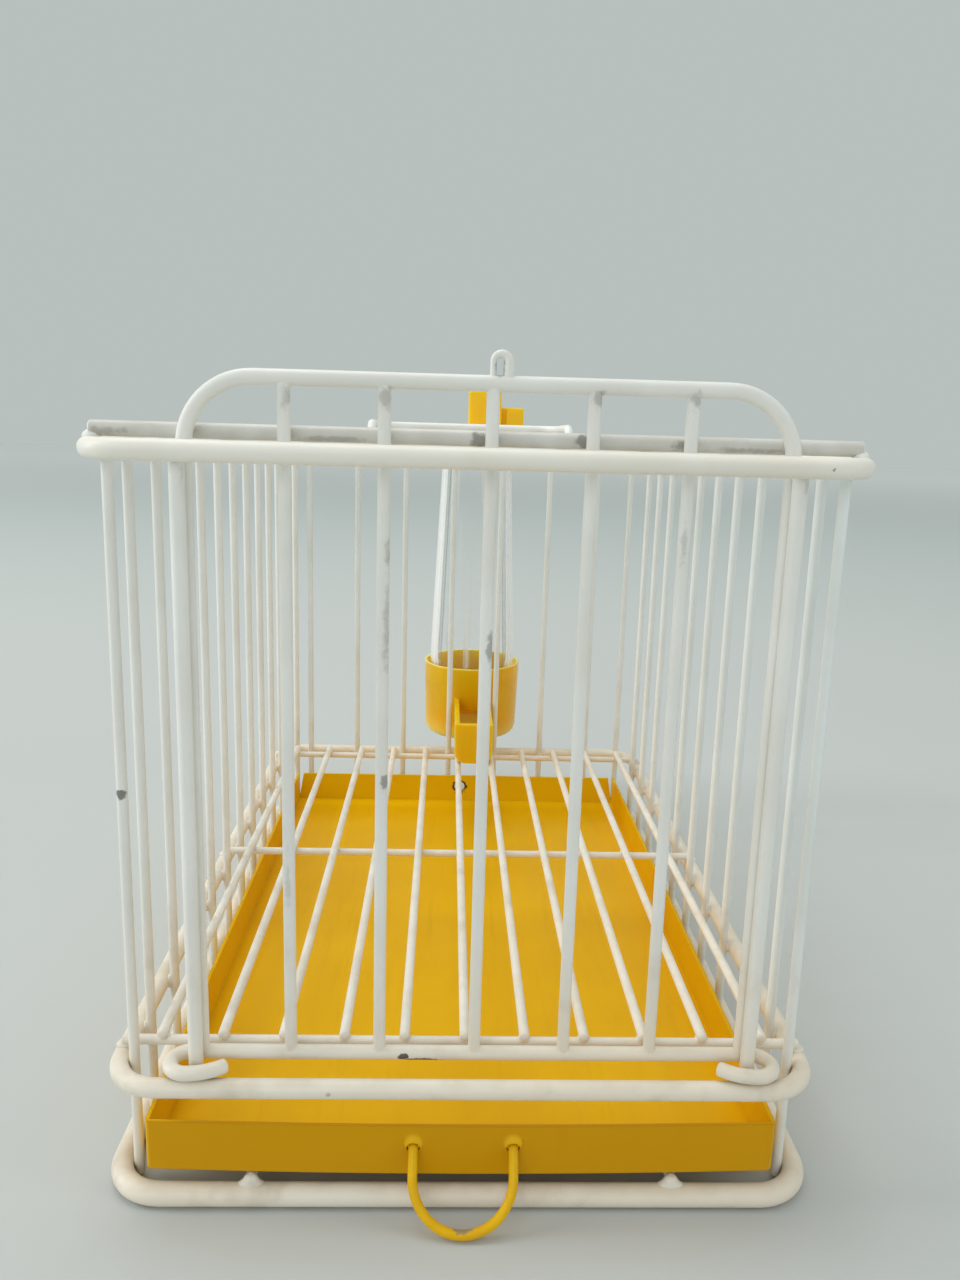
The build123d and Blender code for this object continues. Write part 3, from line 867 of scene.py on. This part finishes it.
def floor_finish(name):
    """A plain pale floor, paler far away, where less lamp light falls."""
    s = Shader(name)
    away = s.length(s.place)
    near = s.mix(s.noise(3.0, 2.0), *floor_near)
    middle = s.mix(s.span(away, 0.2, 1.6), near, floor_middle)
    colour = s.mix(s.span(away, 1.2, 5.0), middle, floor_far)
    s.set(Base_Color=colour, Roughness=0.8, Specular_IOR_Level=0.2)
    return s.material


def make_floor(half):
    mesh = bmesh.new()
    corners = []
    for x, y in ((-half, -half), (half, -half), (half, half), (-half, half)):
        corners.append(mesh.verts.new((x, y, 0.0)))
    mesh.faces.new(corners)
    data = bpy.data.meshes.new("floor")
    mesh.to_mesh(data)
    mesh.free()
    data.materials.append(floor_finish("floor_pale"))
    floor = bpy.data.objects.new("floor", data)
    bpy.context.scene.collection.objects.link(floor)


def make_lamp(name, place, size, power, aim=0.08, colour=(1.0, 1.0, 1.0)):
    """A soft rectangular lamp that points at the object's middle, at that height."""
    data = bpy.data.lights.new(name, "AREA")
    data.shape = "RECTANGLE"
    data.size, data.size_y = size
    data.energy = power
    data.color = colour
    lamp = bpy.data.objects.new(name, data)
    lamp.location = place
    lamp.rotation_mode = "QUATERNION"
    lamp.rotation_quaternion = (Vector((0.0, 0.0, aim)) - Vector(place)).to_track_quat("-Z", "Y")
    bpy.context.scene.collection.objects.link(lamp)


def make_world(strength):
    """Even light from all round, and a plain background for the camera, gloss and clear plastic."""
    world = bpy.data.worlds.new("studio")
    world.use_nodes = True
    tree = world.node_tree
    light = tree.nodes["Background"]
    light.inputs["Color"].default_value = sky_light
    light.inputs["Strength"].default_value = strength
    seen = tree.nodes.new("ShaderNodeBackground")
    seen.inputs["Color"].default_value = sky_seen
    path = tree.nodes.new("ShaderNodeLightPath")
    direct = path.outputs["Is Camera Ray"]
    for name in ("Is Glossy Ray", "Is Transmission Ray"):
        either = tree.nodes.new("ShaderNodeMath")
        either.operation = "MAXIMUM"
        tree.links.new(direct, either.inputs[0])
        tree.links.new(path.outputs[name], either.inputs[1])
        direct = either.outputs["Value"]
    both = tree.nodes.new("ShaderNodeMixShader")
    tree.links.new(direct, both.inputs["Fac"])
    tree.links.new(light.outputs["Background"], both.inputs[1])
    tree.links.new(seen.outputs["Background"], both.inputs[2])
    tree.links.new(both.outputs["Shader"], tree.nodes["World Output"].inputs["Surface"])
    bpy.context.scene.world = world


def make_camera():
    forward = Vector(
        (
            math.sin(camera_yaw) * math.cos(camera_pitch),
            math.cos(camera_yaw) * math.cos(camera_pitch),
            -math.sin(camera_pitch),
        )
    )
    right = Vector((math.cos(camera_yaw), -math.sin(camera_yaw), 0.0))
    down = forward.cross(right)
    across = right * math.cos(camera_roll) - down * math.sin(camera_roll)
    below = right * math.sin(camera_roll) + down * math.cos(camera_roll)
    data = bpy.data.cameras.new("camera")
    data.sensor_width = sensor
    data.lens = sensor * focal_pixels / photo_height
    data.clip_start = 0.01
    data.clip_end = 50.0
    camera = bpy.data.objects.new("camera", data)
    camera.matrix_world = Matrix(
        (
            (across.x, -below.x, -forward.x, camera_place.x),
            (across.y, -below.y, -forward.y, camera_place.y),
            (across.z, -below.z, -forward.z, camera_place.z),
            (0.0, 0.0, 0.0, 1.0),
        )
    )
    bpy.context.scene.collection.objects.link(camera)
    bpy.context.scene.camera = camera


make_floor(half=6.0)
make_world(strength=0.6)
make_lamp("overhead", (-0.2, 0.25, 1.2), (0.8, 0.8), power=5.2, aim=0.05, colour=(1.0, 0.99, 0.97))
make_lamp("window", (-3.1, 0.12, 1.35), (0.8, 2.8), power=42.0)
make_lamp("room", (-1.0, -2.6, 1.35), (2.4, 1.6), power=15.5)
make_lamp("side", (2.4, -0.75, 1.25), (0.6, 2.4), power=7.0)
make_camera()
bpy.context.scene.view_settings.view_transform = "Standard"
